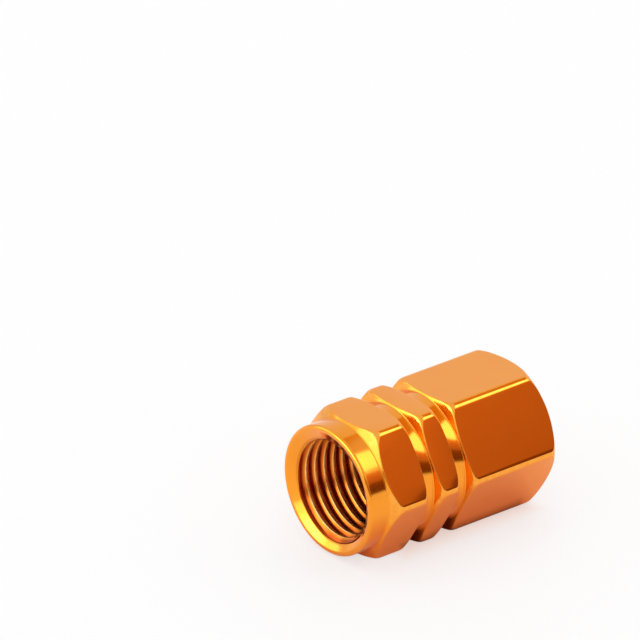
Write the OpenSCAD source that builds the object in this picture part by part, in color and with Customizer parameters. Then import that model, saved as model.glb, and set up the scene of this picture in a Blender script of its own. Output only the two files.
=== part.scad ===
// Hexagonal tyre valve cap, turned from hexagon bar, with a sealing washer.
// Units are millimetres. The cap lies on one hexagon flat: the bore's axis runs
// along Y with the mouth towards -Y, and the origin is on the floor under its centre.

/* [Hexagon body] */
// Width across the hexagon flats
flats_w = 9.5; // [9:0.1:12]
// Diameter over the hexagon corners, which are lightly skimmed
corners_d = 10.8; // [10.5:0.05:10.9]
// Overall length, from the rim of the mouth to the closed end
cap_l = 16; // [15.5:0.5:24]
// Diameter of the flat face at the closed end, inside its chamfer
end_face_d = 9; // [8:0.1:9.4]
// Slope of the chamfer at the closed end and of the cone behind the collar
chamfer_angle = 36; // [30:1:45]

/* [Turned grooves] */
// Number of grooves turned round the hexagon
groove_count = 2; // [1:1:2]
// Width of each groove at its floor
groove_w = 0.85; // [0.6:0.05:1.2]
// Depth of each groove below the hexagon flats
groove_depth = 0.15; // [0.05:0.05:0.25]
// Width of the hexagon ring left between two grooves
ring_w = 1.9; // [1.4:0.1:2.2]
// Distance from the closed end to the nearest groove
long_hex_l = 7.8; // [6.5:0.1:8]
// Lean of the groove's walls, outwards from square
groove_lean = 20; // [10:1:25]
// Fillet in the corners of each groove's floor
groove_fillet = 0.1; // [0.05:0.01:0.15]

/* [Collar and rim] */
// Outside diameter of the round collar at the mouth
collar_d = 9.2; // [9:0.05:9.4]
// Length of the collar
collar_l = 1.45; // [1:0.05:1.7]
// Radius on the outer edge of the rim
rim_edge_r = 0.22; // [0.1:0.02:0.26]

/* [Threaded bore] */
// Minor diameter of the .305-32 stem thread, its crests in the cap
thread_minor_d = 6.9; // [6.8:0.05:7.1]
// Outer diameter of the countersink at the mouth
countersink_d = 8.5; // [7.8:0.05:8.6]
// Included angle of the countersink
countersink_angle = 120; // [90:1:120]
// Distance from the rim to the end of the thread
thread_end_z = 9; // [7:0.5:9.5]
// Diameter of the relief turned behind the thread
relief_d = 7.9; // [7.8:0.05:8.1]
// Diameter of the drill point left in the blind face
pilot_d = 3; // [2:0.5:3.4]
// Included angle of the drill point
pilot_angle = 118; // [90:1:140]

/* [Sealing washer] */
// Thickness of the washer
washer_t = 1.2; // [0.8:0.1:1.5]
// Diameter of the hole in the washer
washer_hole_d = 4; // [3.5:0.1:5]
// Radius on the washer's edges
washer_edge_r = 0.2; // [0.1:0.05:0.3]
// Radial clearance between the washer and the relief
washer_gap = 0.05; // [0.02:0.01:0.1]
// Full-width length of the relief in front of the washer
relief_gap = 0.2; // [0.1:0.1:0.6]

/* [Hidden] */
$fn = 96;
over = 1;
corners_r = corners_d / 2;
collar_r = collar_d / 2;
groove_floor_r = flats_w / 2 - groove_depth;
groove_pitch = groove_w + ring_w;
cone_l = (corners_r - collar_r) * tan(chamfer_angle);
end_chamfer_l = (corners_r - end_face_d / 2) * tan(chamfer_angle);
countersink_l = (countersink_d - thread_minor_d) / 2 / tan(countersink_angle / 2);
relief_step = (relief_d - thread_minor_d) / 2;
blind_z = thread_end_z + relief_step + relief_gap + washer_t;
pilot_depth = pilot_d / 2 / tan(pilot_angle / 2);
washer_r = relief_d / 2 - washer_gap;

// Half section of the turned outside: radius along x, distance from the rim along y.
module turned_outline() {
    polygon([
        [0, 0],
        [collar_r - rim_edge_r, 0],
        [collar_r, rim_edge_r],
        [collar_r, collar_l],
        [corners_r, collar_l + cone_l],
        [corners_r, cap_l - end_chamfer_l],
        [end_face_d / 2, cap_l],
        [0, cap_l]
    ]);
    // The rim's outer edge is rounded
    translate([collar_r - rim_edge_r, rim_edge_r])
        circle(r = rim_edge_r);
}

// Half section of one groove, centred on y = 0: flat floor, fillets, leaning walls.
module groove_section() {
    fillet_y = groove_w / 2 - groove_fillet * tan(45 - groove_lean / 2);
    wall_r = groove_floor_r + groove_fillet * (1 - sin(groove_lean));
    wall_y = fillet_y + groove_fillet * cos(groove_lean);
    outer_r = corners_r + over;
    outer_y = wall_y + (outer_r - wall_r) * tan(groove_lean);
    polygon([
        [groove_floor_r, -fillet_y],
        [wall_r, -wall_y],
        [outer_r, -outer_y],
        [outer_r, outer_y],
        [wall_r, wall_y],
        [groove_floor_r, fillet_y]
    ]);
    for (side = [-1, 1])
        translate([groove_floor_r + groove_fillet, side * fillet_y])
            circle(r = groove_fillet);
}

// Half section of the bore: countersink, thread wall, relief and drill point.
module bore_section() {
    polygon([
        [0, -over],
        [countersink_d / 2, -over],
        [countersink_d / 2, 0],
        [thread_minor_d / 2, countersink_l],
        [thread_minor_d / 2, thread_end_z],
        [relief_d / 2, thread_end_z + relief_step],
        [relief_d / 2, blind_z],
        [pilot_d / 2, blind_z],
        [0, blind_z + pilot_depth]
    ]);
}

// The turned blank with its grooves, cut from hexagon bar, and the bore taken out.
module cap_solid() {
    difference() {
        intersection() {
            cylinder(d = flats_w / cos(30), h = cap_l, $fn = 6);
            rotate_extrude()
                difference() {
                    turned_outline();
                    for (i = [0 : groove_count - 1])
                        translate([0, cap_l - long_hex_l - groove_w / 2 - i * groove_pitch])
                            groove_section();
                }
        }
        rotate_extrude()
            bore_section();
    }
}

// Rounded rubber ring, flat on both faces.
module washer_solid() {
    rotate_extrude()
        translate([washer_hole_d / 2, 0])
            rounded_rectangle(washer_r - washer_hole_d / 2, washer_t, washer_edge_r);
}

// Rectangle with round corners, from the origin towards +x and +y.
module rounded_rectangle(w, h, r) {
    translate([r, 0])
        square([w - 2 * r, h]);
    translate([0, r])
        square([w, h - 2 * r]);
    for (x = [r, w - r], y = [r, h - r])
        translate([x, y])
            circle(r = r);
}

// Turns a piece made along z, mouth at z = 0, into its place lying on a flat.
module lay_down() {
    translate([0, -cap_l / 2, flats_w / 2])
        rotate([-90, 0, 0])
            children();
}

module cap_body() {
    color("darkorange")
        lay_down()
            cap_solid();
}

module seal_washer() {
    color([0.13, 0.13, 0.14])
        lay_down()
            translate([0, 0, blind_z - washer_t])
                washer_solid();
}

cap_body();
seal_washer();
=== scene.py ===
import math

import bmesh
import bpy
from mathutils import Matrix, Vector


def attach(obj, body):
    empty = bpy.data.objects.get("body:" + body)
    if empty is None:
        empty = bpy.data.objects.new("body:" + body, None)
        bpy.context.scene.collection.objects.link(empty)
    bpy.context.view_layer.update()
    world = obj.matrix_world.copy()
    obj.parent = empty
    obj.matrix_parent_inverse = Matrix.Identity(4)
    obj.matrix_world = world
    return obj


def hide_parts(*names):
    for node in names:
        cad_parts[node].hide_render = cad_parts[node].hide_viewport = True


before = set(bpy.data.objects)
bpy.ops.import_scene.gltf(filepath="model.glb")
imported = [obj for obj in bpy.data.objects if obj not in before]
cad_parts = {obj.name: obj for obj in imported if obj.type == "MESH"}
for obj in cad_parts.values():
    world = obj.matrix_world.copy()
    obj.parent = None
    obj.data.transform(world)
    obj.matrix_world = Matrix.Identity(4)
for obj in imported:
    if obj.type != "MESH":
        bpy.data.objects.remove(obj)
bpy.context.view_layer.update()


# The cap itself: one piece of hexagon bar in aluminium. It is turned, bored and tapped
# from the bar, so the flats stay as drawn and all the rest is turned. Then it is bright
# dipped and anodised in a clear gold-orange. Sizes are in millimetres from the rim.
MM = 0.001
flat_r = 4.75
bar_edge_r = 0.55
collar_r = 4.6
collar_l = 1.45
collar_fillet = 0.1
rim_edge_r = 0.22
countersink_r = 4.25
cap_l = 16.0
end_face_r = 4.5
end_edge_r = 0.12
cone_lean = math.radians(36)

# Where a cone or a groove's wall meets a flat, the edge is soft. From corner_soft_from
# beside the flat's middle it grows wider, up to corner_soft at the bar's edge
soft_edge_r = 0.1
corner_soft = 0.36
corner_soft_from = 1.8
corner_soft_rise = 1.5

groove_floor_r = 4.6
groove_half_w = 0.425
groove_lean = math.radians(20)
groove_fillet = 0.08
long_hex_l = 7.8
ring_pitch = 2.75
groove_z = (cap_l - long_hex_l - groove_half_w - ring_pitch, cap_l - long_hex_l - groove_half_w)

# The bar's edges are rounded about an axis that lies inside each hexagon corner
edge_axis_r = (flat_r - bar_edge_r) / math.cos(math.pi / 6)
flat_half_w = edge_axis_r / 2
corner_r = edge_axis_r + bar_edge_r

# The mesh: columns round the outside, the distance at which two points become one, and the
# degrees that one side of the bar takes. Of each half side the flat takes flat_turn, and
# the round edge takes the rest
outside_steps = 240
weld = 0.0005
side_turn = 60
flat_turn = 21.0


def arc(centre_r, centre_z, radius, start, end, points):
    """Points of a turned corner in the half section, angles in degrees from +r to +z."""
    turn = [math.radians(start + (end - start) * i / (points - 1)) for i in range(points)]
    return [(centre_r + radius * math.cos(a), centre_z + radius * math.sin(a)) for a in turn]


def turn_profile(mesh, points, count):
    """Spins a half section of (radius, distance from the rim) round the bore's axis."""
    verts = [mesh.verts.new((r, z, 0)) for r, z in points]
    edges = [mesh.edges.new(pair) for pair in zip(verts, verts[1:])]
    bmesh.ops.spin(mesh, geom=verts + edges, cent=(0, 0, 0), axis=(0, 1, 0), dvec=(0, 0, 0),
                   angle=2 * math.pi, steps=count, use_merge=True, use_duplicate=False)


def land_end(z, lean, side):
    """Rounded edge where a cone or a groove's wall meets the bar, at the bar's corner radius."""
    turn = math.pi / 2 - lean
    centre_r = corner_r - soft_edge_r
    centre_z = z - side * soft_edge_r * math.tan(turn / 2)
    points = arc(centre_r, centre_z, soft_edge_r, 0, side * math.degrees(turn), 8)
    return points if side > 0 else points[::-1]


def groove_floor(z):
    """Floor of one groove, with the fillets at its two sides."""
    fillet_z = groove_half_w - groove_fillet * math.tan(math.pi / 4 - groove_lean / 2)
    lean = math.degrees(groove_lean)
    centre_r = groove_floor_r + groove_fillet
    return (arc(centre_r, z - fillet_z, groove_fillet, 270 - lean, 180, 5)
            + arc(centre_r, z + fillet_z, groove_fillet, 180, 90 + lean, 5))


def groove_reach(z, side):
    """Distance from the rim of the edge where a groove's wall meets the bar's corner radius."""
    return z + side * (groove_half_w + (corner_r - groove_floor_r) * math.tan(groove_lean))


cap = bmesh.new()
cone_angle = math.degrees(cone_lean)
cone_z = collar_l + (corner_r - collar_r) * math.tan(cone_lean)
chamfer_z = cap_l - (corner_r - end_face_r) * math.tan(cone_lean)
outline = [(countersink_r, 0.0)]
outline += arc(collar_r - rim_edge_r, rim_edge_r, rim_edge_r, 270, 360, 7)
outline += arc(collar_r + collar_fillet, collar_l - collar_fillet / 2, collar_fillet,
               180, 90 + cone_angle, 4)
outline += land_end(cone_z, cone_lean, -1)
for z in groove_z:
    outline += land_end(groove_reach(z, -1), groove_lean, 1)
    outline += groove_floor(z)
    outline += land_end(groove_reach(z, 1), groove_lean, -1)
outline += land_end(chamfer_z, cone_lean, 1)
outline += arc(end_face_r - end_edge_r * math.tan(cone_lean / 2), cap_l - end_edge_r,
               end_edge_r, 90 - cone_angle, 90, 4)
outline += [(0.0, cap_l)]
turn_profile(cap, outline, outside_steps)
bmesh.ops.remove_doubles(cap, verts=cap.verts, dist=weld)


def radius(vert):
    """Distance of a point from the bore's axis."""
    return math.hypot(vert.co.x, vert.co.z)


def bar_outline(turn):
    """A point of the bar's outline, for a turn in degrees from the middle of a flat, and
    how near it is to the bar's edge: 0 on the flat, 1 in the middle of the round."""
    part = abs(turn)
    half_turn = side_turn / 2
    # On the flat, the columns stand closer together towards its ends
    gather = 1.6
    if part <= flat_turn:
        x, y = flat_r, flat_half_w * (1 - (1 - part / flat_turn) ** gather)
        along = y
    else:
        lean = math.radians(half_turn * (part - flat_turn) / (half_turn - flat_turn))
        x = flat_r - bar_edge_r + bar_edge_r * math.cos(lean)
        y = flat_half_w + bar_edge_r * math.sin(lean)
        along = flat_half_w + bar_edge_r * lean
    full = flat_half_w + bar_edge_r * math.radians(half_turn)
    near_edge = max(0, (along - corner_soft_from) / (full - corner_soft_from))
    return x, math.copysign(y, turn), near_edge


# The turned blank takes the bar's outline: the columns of its mesh gather at the bar's
# edges, and each end of a flat slides in along the cone or the wall that it meets. The
# soft edge between the two grows wider near the bar's edges, which rounds the flat's corner
bar_ends = [(cone_z, cone_lean, 1), (chamfer_z, cone_lean, -1)]
for z in groove_z:
    bar_ends += [(groove_reach(z, side), groove_lean, side) for side in (-1, 1)]
for v in cap.verts:
    size = radius(v)
    if size < weld:
        continue
    around = math.degrees(math.atan2(v.co.z, v.co.x))
    flat = side_turn * (math.floor(around / side_turn) + 0.5)
    x, y, near_edge = bar_outline(around - flat)
    angle = math.atan2(y, x) + math.radians(flat)
    if size > corner_r - soft_edge_r:
        end_z, lean, side = min(bar_ends, key=lambda end: abs(end[0] - v.co.y))
        slide = math.hypot(x, y) - corner_r
        soft = soft_edge_r * math.tan(math.pi / 4 - lean / 2)
        grow = 1 + (corner_soft / soft - 1) * near_edge ** corner_soft_rise
        v.co.y = end_z + slide * side * math.tan(lean) + (v.co.y - end_z) * grow
        size = corner_r + slide + (size - corner_r) * grow
    v.co.x, v.co.z = size * math.cos(angle), size * math.sin(angle)


def open_edges(mesh, z):
    """The open edges that lie at one distance from the rim."""
    return [e for e in mesh.edges
            if e.is_boundary and all(abs(v.co.y - z) < weld for v in e.verts)]


# The bore: a right-hand thread, a countersink before it and a relief behind it
thread_minor_r = 3.45
thread_major_r = 3.87
thread_pitch = 0.794
thread_end_z = 9.0
thread_lead_in = 0.306
countersink_slope = math.tan(math.radians(60))
relief_r = 3.95
relief_z = thread_end_z + relief_r - thread_minor_r
blind_z = 10.9
blind_edge_r = 0.05
drill_r = 1.5
drill_depth = 0.9
bore_steps = 108

# One pitch of the thread's section, as shares of pitch and depth, is carried round and
# along the bore. It starts outside the mouth, and is cut off just inside the rim
thread_section = [(0.0, 0.0), (0.06, 0.01), (0.11, 0.05), (0.15, 0.12), (0.25, 0.4), (0.35, 0.68),
                  (0.41, 0.84), (0.45, 0.94), (0.5, 1.0), (0.55, 0.94), (0.59, 0.84), (0.65, 0.68),
                  (0.75, 0.4), (0.85, 0.12), (0.89, 0.05), (0.94, 0.01), (1.0, 0.0)]
mouth_z = 0.03
turns_outside = 1.5
tap_weld = 0.002
depth = thread_major_r - thread_minor_r
start = math.pi / bore_steps
tap = bmesh.new()
verts = [tap.verts.new(((thread_minor_r + depth * d) * math.cos(start),
                        (p - turns_outside) * thread_pitch + thread_lead_in,
                        (thread_minor_r + depth * d) * math.sin(start)))
         for p, d in thread_section]
edges = [tap.edges.new(pair) for pair in zip(verts, verts[1:])]
bmesh.ops.spin(tap, geom=verts + edges, cent=(0, 0, 0), axis=(0, 1, 0),
               dvec=(0, thread_pitch / bore_steps, 0), angle=2 * math.pi, steps=bore_steps,
               use_merge=False, use_duplicate=False)
one_turn = tap.verts[:] + tap.edges[:] + tap.faces[:]
for turn in range(1, math.ceil(relief_z / thread_pitch + turns_outside)):
    copy = bmesh.ops.duplicate(tap, geom=one_turn)["geom"]
    bmesh.ops.translate(tap, vec=(0, thread_pitch * turn, 0),
                        verts=[v for v in copy if isinstance(v, bmesh.types.BMVert)])
bmesh.ops.remove_doubles(tap, verts=tap.verts, dist=tap_weld)
for z, side in ((mouth_z, -1), (relief_z, 1)):
    bmesh.ops.bisect_plane(tap, geom=tap.verts[:] + tap.edges[:] + tap.faces[:], dist=weld,
                           plane_co=(0, z, 0), plane_no=(0, side, 0), clear_outer=True)

# The countersink and the relief cut the thread away where they are wider
for v in tap.verts:
    countersink = countersink_r - v.co.y * countersink_slope
    relief = thread_minor_r + v.co.y - thread_end_z
    grow = max(radius(v), countersink, min(relief, relief_r)) / radius(v)
    v.co.x *= grow
    v.co.z *= grow
tapped = bpy.data.meshes.new("tapped")
tap.to_mesh(tapped)
tap.free()
cap.from_mesh(tapped)
bpy.data.meshes.remove(tapped)

# Behind the thread: the relief, the blind face and the drill point
relief_from = relief_z + 0.02
bottom = [(relief_r, relief_from)]
bottom += arc(relief_r - blind_edge_r, blind_z - blind_edge_r, blind_edge_r, 0, 90, 4)
bottom += [(drill_r, blind_z), (0.0, blind_z + drill_depth)]
turn_profile(cap, bottom, bore_steps)
tip_r = 0.01
tips = [v for v in cap.verts if radius(v) < tip_r]
bmesh.ops.remove_doubles(cap, verts=tips, dist=tip_r / 2)

bmesh.ops.bridge_loops(cap, edges=open_edges(cap, 0.0) + open_edges(cap, mouth_z))
bmesh.ops.bridge_loops(cap, edges=open_edges(cap, relief_z) + open_edges(cap, relief_from))
bmesh.ops.recalc_face_normals(cap, faces=cap.faces)
for f in cap.faces:
    f.smooth = True


def add_object(name, data):
    """A new object in the scene."""
    made = bpy.data.objects.new(name, data)
    bpy.context.collection.objects.link(made)
    return made


def add_mesh(name, mesh, material):
    """A new object from a bmesh, which is freed."""
    data = bpy.data.meshes.new(name)
    mesh.to_mesh(data)
    mesh.free()
    data.materials.append(material)
    return add_object(name, data)


def lay_down(mesh, name, material):
    """Puts a piece made along +y from its rim into its place, in metres, and makes its object."""
    place = Matrix.Translation((0, -cap_l / 2, flat_r))
    bmesh.ops.transform(mesh, matrix=Matrix.Scale(MM, 4) @ place, verts=mesh.verts)
    piece = add_mesh(name, mesh, material)
    smooth = piece.modifiers.new("shading", "WEIGHTED_NORMAL")
    smooth.mode = "FACE_AREA"
    smooth.weight = 50
    return piece


def node_group(name, inputs, outputs):
    """An empty node group with named sockets; each socket is a pair of name and kind."""
    tree = bpy.data.node_groups.new(name, "ShaderNodeTree")
    for socket, kind in inputs:
        tree.interface.new_socket(socket, in_out="INPUT", socket_type="NodeSocket" + kind)
    for socket, kind in outputs:
        tree.interface.new_socket(socket, in_out="OUTPUT", socket_type="NodeSocket" + kind)
    return tree, tree.nodes.new("NodeGroupInput"), tree.nodes.new("NodeGroupOutput")


def feed(tree, socket, value):
    """Links an output to a socket, or sets the socket to a plain value."""
    if isinstance(value, bpy.types.NodeSocket):
        tree.links.new(value, socket)
    else:
        socket.default_value = value


def maths(tree, operation, *values, kind="ShaderNodeMath"):
    """A maths node fed with links or plain values; gives its output."""
    node = tree.nodes.new(kind)
    node.operation = operation
    for i, value in enumerate(values):
        feed(tree, node.inputs[i], value)
    return node.outputs["Value"] if operation == "LENGTH" else node.outputs[0]


def blend(tree, share, first, second):
    """A colour between two, by a share from 0 for the first to 1 for the second."""
    node = tree.nodes.new("ShaderNodeMix")
    node.data_type = "RGBA"
    for socket, value in (("Factor", share), ("A", first), ("B", second)):
        feed(tree, node.inputs[socket], value)
    return node.outputs["Result"]


def band(tree, value, low, high, to_low=0.0, to_high=1.0):
    """A smooth step of a value, from to_low at low to to_high at high."""
    node = tree.nodes.new("ShaderNodeMapRange")
    node.interpolation_type = "SMOOTHSTEP"
    for socket, number in (("Value", value), ("From Min", low), ("From Max", high),
                           ("To Min", to_low), ("To Max", to_high)):
        feed(tree, node.inputs[socket], number)
    return node.outputs["Result"]


def noise(tree, vector, scale, detail=2.0):
    """Noise over a vector, from 0 to 1."""
    node = tree.nodes.new("ShaderNodeTexNoise")
    node.inputs["Scale"].default_value = scale
    node.inputs["Detail"].default_value = detail
    tree.links.new(vector, node.inputs["Vector"])
    return node.outputs["Fac"]


def cap_zones():
    """Where on the cap a point lies: millimetres from the rim and the axis, and masks for the
    turned surfaces, the inside of the bore, the thread's crests and valleys, and rubbed edges."""
    tree, given, result = node_group(
        "cap_zones", [("Position", "Vector"), ("Normal", "Vector")],
        [("Turned", "Float"), ("Bore", "Float"), ("Crest", "Float"), ("Valley", "Float"),
         ("Edge", "Float"), ("Rings", "Vector"), ("Lines", "Vector"), ("Place", "Vector")])
    moved = maths(tree, "SUBTRACT", given.outputs["Position"], (0, -cap_l / 2 * MM, flat_r * MM),
                  kind="ShaderNodeVectorMath")
    place = maths(tree, "SCALE", moved, kind="ShaderNodeVectorMath")
    place.node.inputs["Scale"].default_value = 1 / MM
    flattened = maths(tree, "MULTIPLY", place, (1, 0, 1), kind="ShaderNodeVectorMath")
    from_axis = maths(tree, "LENGTH", flattened, kind="ShaderNodeVectorMath")
    split = tree.nodes.new("ShaderNodeSeparateXYZ")
    tree.links.new(place, split.inputs["Vector"])
    facing = tree.nodes.new("ShaderNodeSeparateXYZ")
    tree.links.new(given.outputs["Normal"], facing.inputs["Vector"])
    from_rim = split.outputs["Y"]
    end_facing = maths(tree, "ABSOLUTE", facing.outputs["Y"])
    # The drawn flats are as far out as the bar and don't face its ends; the rest is turned
    on_bar = band(tree, from_axis, flat_r - 0.05, flat_r - 0.01)
    drawn = maths(tree, "MULTIPLY", on_bar, band(tree, end_facing, 0.02, 0.2, 1.0, 0.0))
    tree.links.new(maths(tree, "SUBTRACT", 1.0, drawn), result.inputs["Turned"])
    # The bore lies within the relief's radius, from the countersink to past the drill point
    inside = maths(tree, "MULTIPLY", band(tree, from_axis, relief_r, relief_r + 0.15, 1.0, 0.0),
                   band(tree, from_rim, blind_z + 1, blind_z + 1.5, 1.0, 0.0))
    inside = maths(tree, "MULTIPLY", inside, band(tree, from_rim, 0.3, 0.46))
    tree.links.new(inside, result.inputs["Bore"])
    # The crests stand at the thread's minor radius, and the valleys lie behind them
    inner = band(tree, from_axis, thread_minor_r - 0.1, thread_minor_r - 0.05)
    outer = band(tree, from_axis, thread_minor_r + 0.02, thread_minor_r + 0.06, 1.0, 0.0)
    crest = maths(tree, "MULTIPLY", maths(tree, "MULTIPLY", inner, outer), inside)
    tree.links.new(crest, result.inputs["Crest"])
    valley = band(tree, from_axis, thread_minor_r + 0.03, thread_minor_r + 0.22)
    tree.links.new(maths(tree, "MULTIPLY", valley, inside), result.inputs["Valley"])
    # The soft ends of the flats face between outwards and endwards; the bar's own edges
    # face between two flats
    soft_end = maths(tree, "MULTIPLY", band(tree, end_facing, 0.05, 0.3),
                     band(tree, end_facing, 0.55, 0.78, 1.0, 0.0))
    around = maths(tree, "ARCTAN2", facing.outputs["Z"], facing.outputs["X"])
    sixfold = maths(tree, "COSINE", maths(tree, "MULTIPLY", around, 6.0))
    between_flats = band(tree, sixfold, -0.6, 0.6)
    edge = maths(tree, "MULTIPLY", maths(tree, "MAXIMUM", soft_end, between_flats), on_bar)
    tree.links.new(edge, result.inputs["Edge"])
    # Turning marks run round the axis and drawing marks along it
    rings = tree.nodes.new("ShaderNodeCombineXYZ")
    for socket, value in (("X", from_rim), ("Y", from_axis),
                          ("Z", maths(tree, "MULTIPLY", split.outputs["X"], 0.02))):
        tree.links.new(value, rings.inputs[socket])
    tree.links.new(rings.outputs["Vector"], result.inputs["Rings"])
    lines = maths(tree, "MULTIPLY", place, (1, 0.04, 1), kind="ShaderNodeVectorMath")
    tree.links.new(lines, result.inputs["Lines"])
    tree.links.new(place, result.inputs["Place"])
    return tree


def metal_marks():
    """Height and roughness of the metal: fine tool marks, a bead-like dimple of the bright
    dip and a few dull specks, and a rougher bore where the tap has torn the metal."""
    tree, given, result = node_group(
        "metal_marks", [("Turned", "Float"), ("Bore", "Float"), ("Crest", "Float"),
                        ("Rings", "Vector"), ("Lines", "Vector"), ("Place", "Vector")],
        [("Height", "Float"), ("Roughness", "Float"), ("Coat", "Float")])
    rings = noise(tree, given.outputs["Rings"], 14, 4)
    lines = noise(tree, given.outputs["Lines"], 9, 3)
    dimple = noise(tree, given.outputs["Place"], 1.1, 1)
    specks = band(tree, noise(tree, given.outputs["Place"], 26, 1), 0.72, 0.8)
    marks = tree.nodes.new("ShaderNodeMix")
    tree.links.new(given.outputs["Turned"], marks.inputs["Factor"])
    tree.links.new(maths(tree, "MULTIPLY", lines, 0.12), marks.inputs["A"])
    tree.links.new(rings, marks.inputs["B"])
    torn = maths(tree, "MULTIPLY", noise(tree, given.outputs["Place"], 7, 4), given.outputs["Bore"])
    height = maths(tree, "ADD", marks.outputs["Result"], maths(tree, "MULTIPLY", dimple, 0.5))
    height = maths(tree, "ADD", height, maths(tree, "MULTIPLY", torn, 1.5))
    tree.links.new(height, result.inputs["Height"])
    rough = maths(tree, "MULTIPLY_ADD", given.outputs["Turned"], 0.06, 0.05)
    rough = maths(tree, "MULTIPLY_ADD", given.outputs["Bore"], 0.04, rough)
    rough = maths(tree, "MULTIPLY_ADD", given.outputs["Crest"], 0.1, rough)
    rough = maths(tree, "MULTIPLY_ADD", marks.outputs["Result"], 0.05, rough)
    rough = maths(tree, "MULTIPLY_ADD", specks, 0.12, rough)
    tree.links.new(rough, result.inputs["Roughness"])
    coat = maths(tree, "MULTIPLY_ADD", given.outputs["Bore"], -0.38, 0.4)
    tree.links.new(coat, result.inputs["Coat"])
    return tree


def dye_and_painted_light():
    """Colour of the dyed oxide: clouds of a slightly deeper orange, and thinner and paler where the
    edges are rubbed. Painted shade darkens the bore and makes it dark red between the thread's
    crests, and a painted highlight pales the crests in patches."""
    tree, given, result = node_group(
        "dye_and_painted_light",
        [("Place", "Vector"), ("Bore", "Float"), ("Valley", "Float"), ("Crest", "Float"),
         ("Edge", "Float")],
        [("Color", "Color")])
    clouds = noise(tree, given.outputs["Place"], 0.5, 3)
    patches = noise(tree, given.outputs["Place"], 2.5, 4)
    # Patches where the crests take a painted highlight
    crest_highlight_patches = band(tree, patches, 0.3, 0.6, 0.6, 1.0)
    rubbed = band(tree, patches, 0.35, 0.75, 0.1, 0.5)
    colour = (0.95, 0.34, 0.016, 1)
    # Painted shade darkens the bore and the thread's valleys; a painted highlight pales the crests
    for mask, share, other in ((clouds, 0.3, (0.8, 0.19, 0.008, 1)),
                               (given.outputs["Bore"], 0.5, (0.7, 0.16, 0.01, 1)),
                               (given.outputs["Valley"], 0.9, (0.4, 0.06, 0.01, 1)),
                               (given.outputs["Crest"], crest_highlight_patches, (1.0, 0.74, 0.36, 1)),
                               (given.outputs["Edge"], rubbed, (0.96, 0.5, 0.1, 1))):
        colour = blend(tree, maths(tree, "MULTIPLY", mask, share), colour, other)
    tree.links.new(colour, result.inputs["Color"])
    return tree


def principled(name):
    """A new material, with its node tree and its Principled BSDF."""
    material = bpy.data.materials.new(name)
    material.use_nodes = True
    return material, material.node_tree, material.node_tree.nodes["Principled BSDF"]


def use_groups(tree, groups):
    """Puts groups into a material, each fed from outputs of the same names, and gives all of
    their outputs by name."""
    coordinate = tree.nodes.new("ShaderNodeTexCoord")
    sources = {"Position": coordinate.outputs["Object"], "Normal": coordinate.outputs["Normal"]}
    for group in groups:
        node = tree.nodes.new("ShaderNodeGroup")
        node.node_tree = group
        for socket in node.inputs:
            tree.links.new(sources[socket.name], socket)
        sources.update({socket.name: socket for socket in node.outputs})
    return sources


def bump(tree, shader, height, strength, distance):
    """Gives a shader the relief of a height; the distance is in metres."""
    node = tree.nodes.new("ShaderNodeBump")
    node.inputs["Strength"].default_value = strength
    node.inputs["Distance"].default_value = distance
    tree.links.new(height, node.inputs["Height"])
    tree.links.new(node.outputs["Normal"], shader.inputs["Normal"])


anodised, tree, metal = principled("gold_orange_anodising")
metal.inputs["Metallic"].default_value = 1.0
metal.inputs["Coat Roughness"].default_value = 0.05
zones = cap_zones()
sources = use_groups(tree, (zones, metal_marks(), dye_and_painted_light()))
tree.links.new(sources["Color"], metal.inputs["Base Color"])
tree.links.new(sources["Roughness"], metal.inputs["Roughness"])
tree.links.new(sources["Coat"], metal.inputs["Coat Weight"])
bump(tree, metal, sources["Height"], 0.5, 0.002 * MM)

body = lay_down(cap, "turned_cap", anodised)
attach(body, "root")
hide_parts("cap_body")


# A moulded ring of black rubber, pushed into the relief at the bottom of the bore.
# The end of the valve's stem presses on it.
washer_r = 3.9
washer_hole_r = 2.0
washer_t = 1.2
washer_edge = 0.2

ring = bmesh.new()
front, back = blind_z - washer_t, blind_z
section = arc(washer_r - washer_edge, front + washer_edge, washer_edge, 270, 360, 5)
section += arc(washer_r - washer_edge, back - washer_edge, washer_edge, 0, 90, 5)
section += arc(washer_hole_r + washer_edge, back - washer_edge, washer_edge, 90, 180, 5)
section += arc(washer_hole_r + washer_edge, front + washer_edge, washer_edge, 180, 270, 5)
turn_profile(ring, section + [section[0]], bore_steps)
bmesh.ops.remove_doubles(ring, verts=ring.verts, dist=weld)
bmesh.ops.recalc_face_normals(ring, faces=ring.faces)
for f in ring.faces:
    f.smooth = True


def rubber_skin():
    """Skin of moulded rubber: a fine matt grain, bloom in faint clouds, and a few pits."""
    tree, given, result = node_group(
        "rubber_skin", [("Place", "Vector")],
        [("Color", "Color"), ("Roughness", "Float"), ("Height", "Float")])
    clouds = noise(tree, given.outputs["Place"], 0.9, 4)
    grain = noise(tree, given.outputs["Place"], 30, 3)
    pits = band(tree, noise(tree, given.outputs["Place"], 9, 1), 0.3, 0.36)
    bloom = band(tree, clouds, 0.4, 0.75)
    tree.links.new(blend(tree, bloom, (0.022, 0.022, 0.024, 1), (0.06, 0.058, 0.056, 1)),
                   result.inputs["Color"])
    tree.links.new(maths(tree, "MULTIPLY_ADD", clouds, 0.25, 0.5), result.inputs["Roughness"])
    tree.links.new(maths(tree, "MULTIPLY_ADD", grain, 0.4, pits), result.inputs["Height"])
    return tree


rubber, tree, skin = principled("black_rubber")
skin.inputs["Specular IOR Level"].default_value = 0.4
sources = use_groups(tree, (zones, rubber_skin()))
tree.links.new(sources["Color"], skin.inputs["Base Color"])
tree.links.new(sources["Roughness"], skin.inputs["Roughness"])
bump(tree, skin, sources["Height"], 0.6, 0.01 * MM)

washer = lay_down(ring, "rubber_washer", rubber)
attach(washer, "root")
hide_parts("seal_washer")
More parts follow.
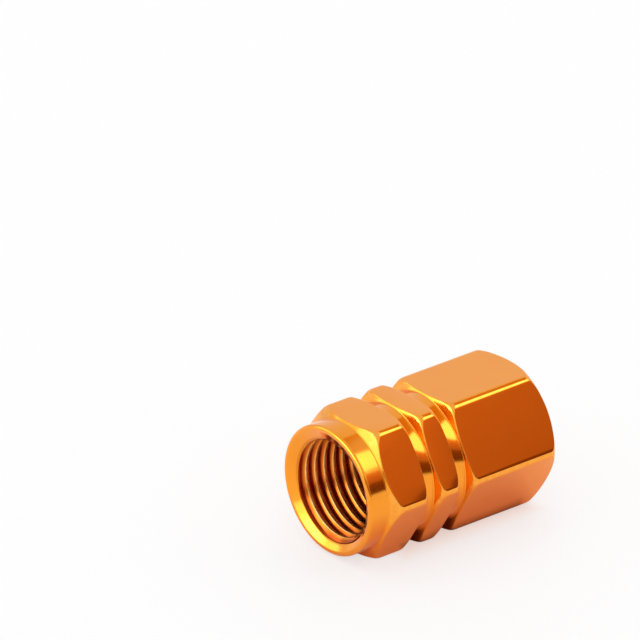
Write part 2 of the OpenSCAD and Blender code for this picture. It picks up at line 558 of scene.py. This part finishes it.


# A wide sheet of matt white paper, with a painted orange glow close by the cap. It looks
# bright to the camera and is mirrored with painted shade, a little darker and warmer, so that
# the cap's lower flats stay darker than its upper ones.
paper, tree, sheet = principled("white_paper")
sheet.inputs["Roughness"].default_value = 0.6
sheet.inputs["Specular IOR Level"].default_value = 0.2
place = tree.nodes.new("ShaderNodeTexCoord").outputs["Object"]
bump(tree, sheet, noise(tree, place, 2500, 3), 0.06, 0.0001)

# How far a point of the floor lies beside the cap's axis, or past the ends of the strip of
# painted shade and glow, whose middle is a little behind the cap's own
painted_strip_middle = 0.0015
painted_strip_half_l = 0.0021
beside = tree.nodes.new("ShaderNodeSeparateXYZ")
tree.links.new(place, beside.inputs["Vector"])
along = maths(tree, "SUBTRACT", beside.outputs["Y"], painted_strip_middle)
past_end = maths(tree, "SUBTRACT", maths(tree, "ABSOLUTE", along), painted_strip_half_l)
aside = maths(tree, "MAXIMUM", maths(tree, "ABSOLUTE", beside.outputs["X"]), past_end)

# What the metal mirrors of it, a painted shade: dark orange under the cap, then warm, then white
mirrored_painted_shade = (0.2, 0.07, 0.04, 1)
for near, far, tint in ((0.0024, 0.0034, (0.95, 0.7, 0.56, 1)),
                        (0.004, 0.011, (1.0, 0.96, 0.92, 1))):
    mirrored_painted_shade = blend(tree, band(tree, aside, near, far), mirrored_painted_shade, tint)

# What the camera sees: a grey that an even glow brings up to white, with a painted orange glow
# beside the cap
to_camera = tree.nodes.new("ShaderNodeLightPath").outputs["Is Camera Ray"]
feed(tree, sheet.inputs["Base Color"], blend(tree, to_camera, mirrored_painted_shade, (0.27, 0.27, 0.272, 1)))
glow_and_painted_bounce = blend(tree, band(tree, aside, 0.0024, 0.0046), (1.0, 0.82, 0.75, 1), (1.0, 0.995, 0.995, 1))
feed(tree, sheet.inputs["Emission Color"], glow_and_painted_bounce)
feed(tree, sheet.inputs["Emission Strength"], maths(tree, "MULTIPLY", to_camera, 0.69))

disc = bmesh.new()
bmesh.ops.create_circle(disc, cap_ends=True, radius=6.0, segments=64)
floor = add_mesh("floor", disc, paper)


# The metal mirrors a white room with two softboxes, the front one veiled at one side and
# brighter in its middle, and five brown cards. Each is a flat panel that glows and fades out
# at its border. Only the metal sees them; the rest is lit by the even white air.
def direction(azimuth, elevation):
    """Unit vector from the cap, azimuth from +X towards +Y, in degrees."""
    a, e = math.radians(azimuth), math.radians(elevation)
    return Vector((math.cos(a) * math.cos(e), math.sin(a) * math.cos(e), math.sin(e)))


def glow(name, low, high, fade):
    """Material of a panel: a colour from its lower to its upper edge, clear towards its border."""
    material = bpy.data.materials.new(name)
    material.use_nodes = True
    material.cycles.emission_sampling = "NONE"
    tree = material.node_tree
    tree.nodes.clear()
    place = tree.nodes.new("ShaderNodeTexCoord")
    split = tree.nodes.new("ShaderNodeSeparateXYZ")
    tree.links.new(place.outputs["UV"], split.inputs["Vector"])
    light = tree.nodes.new("ShaderNodeEmission")
    tree.links.new(blend(tree, split.outputs["Y"], (*low, 1), (*high, 1)), light.inputs["Color"])
    borders = [band(tree, maths(tree, "PINGPONG", split.outputs[axis], 0.5), 0, share)
               for axis, share in zip("XY", fade)]
    clear = tree.nodes.new("ShaderNodeBsdfTransparent")
    mix = tree.nodes.new("ShaderNodeMixShader")
    tree.links.new(maths(tree, "MULTIPLY", *borders), mix.inputs["Fac"])
    tree.links.new(clear.outputs["BSDF"], mix.inputs[1])
    tree.links.new(light.outputs["Emission"], mix.inputs[2])
    surface = tree.nodes.new("ShaderNodeOutputMaterial")
    tree.links.new(mix.outputs["Shader"], surface.inputs["Surface"])
    return material


def panel(name, azimuths, elevations, distance, low, high, fade):
    """A standing panel between two azimuths and two elevations, in degrees, at a distance.
    It glows from one colour at its foot to another at its top."""
    (left, right), (bottom, top) = azimuths, elevations
    flat = bmesh.new()
    flat.loops.layers.uv.new("UVMap")
    bmesh.ops.create_grid(flat, x_segments=1, y_segments=1, size=0.5, calc_uvs=True)
    middle = direction((left + right) / 2, (bottom + top) / 2)
    width = 2 * distance * math.tan(math.radians(right - left) / 2) * math.hypot(middle.x, middle.y)
    height = 2 * distance * math.tan(math.radians(top - bottom) / 2)
    bmesh.ops.scale(flat, vec=(width, height, 1), verts=flat.verts)
    turn = middle.to_track_quat("Z", "Y").to_matrix().to_4x4()
    bmesh.ops.transform(flat, matrix=Matrix.Translation(middle * distance) @ turn, verts=flat.verts)
    board = add_mesh(name, flat, glow(name, low, high, fade))
    board.visible_camera = False
    board.visible_diffuse = False
    board.visible_shadow = False


panel("back_softbox", (30, 72), (32, 60), 1.6, (2.7, 2.7, 2.7), (2.7, 2.7, 2.7), (0.05, 0.08))
panel("front_softbox", (-157, -66), (1, 50), 1.4, (2.5, 2.5, 2.5), (2.3, 2.3, 2.3), (0.12, 0.06))
panel("front_veil", (-160, -117), (21, 52), 1.3, (1.5, 1.45, 1.4), (1.3, 1.25, 1.2), (0.1, 0.1))
panel("front_lamp", (-132, -90), (6, 32), 1.2, (6.5, 6.5, 6.5), (6, 6, 6), (0.3, 0.35))
panel("right_card", (5, 70), (8, 36), 0.1, (0.1, 0.04, 0.02), (0.88, 0.39, 0.2), (0.05, 0.06))
panel("low_card", (3, 72), (5, 22.6), 0.095, (0.12, 0.04, 0.01), (0.26, 0.09, 0.03), (0.05, 0.1))
panel("corner_card", (-82, -66), (-2, 14), 0.5, (0.12, 0.06, 0.04), (0.2, 0.1, 0.06), (0.3, 0.3))
panel("mouth_card", (-66, 5), (0, 30), 0.6, (0.24, 0.11, 0.055), (0.7, 0.42, 0.24), (0.1, 0.15))
panel("top_card", (66, 120), (48, 64), 0.5, (0.7, 0.36, 0.05), (0.78, 0.42, 0.06), (0.08, 0.12))

world = bpy.data.worlds.new("studio")
bpy.context.scene.world = world
world.use_nodes = True
air = world.node_tree
background = air.nodes["Background"]
background.inputs["Color"].default_value = (1, 1, 1, 1)

# The air lights the pieces a little more brightly than it is seen or mirrored
lights_at = 1.05
seen_at = 0.93
ray = air.nodes.new("ShaderNodeLightPath")
seen = maths(air, "MAXIMUM", ray.outputs["Is Camera Ray"], ray.outputs["Is Glossy Ray"])
seen = maths(air, "MAXIMUM", seen, ray.outputs["Is Transmission Ray"])
air.links.new(band(air, seen, 0, 1, lights_at, seen_at), background.inputs["Strength"])


# The camera stands well away and looks down on the mouth and the +X side, with a long lens,
# so that parallel edges stay nearly parallel in the picture.
azimuth = math.radians(50.5)
elevation = math.radians(26.3)
distance = 1.1
picture_w = 640
pixels_per_metre = 14950.0
cap_pixel = (419.3, 456.8)

right = Vector((math.cos(azimuth), math.sin(azimuth), 0))
view = Vector((-math.sin(azimuth) * math.cos(elevation), math.cos(azimuth) * math.cos(elevation),
               -math.sin(elevation)))
up = right.cross(view)
centre = Vector((0, 0, flat_r * MM))
aim = (centre - right * (cap_pixel[0] - picture_w / 2) / pixels_per_metre
       + up * (cap_pixel[1] - picture_w / 2) / pixels_per_metre)
camera_data = bpy.data.cameras.new("camera")
camera_data.sensor_width = 36.0
camera_data.lens = pixels_per_metre * distance / picture_w * camera_data.sensor_width
camera = add_object("camera", camera_data)
camera.matrix_world = Matrix.LocRotScale(
    aim - view * distance,
    Matrix((right, up, -view)).transposed().to_quaternion(), None)
bpy.context.scene.camera = camera
bpy.context.scene.view_settings.view_transform = "Standard"
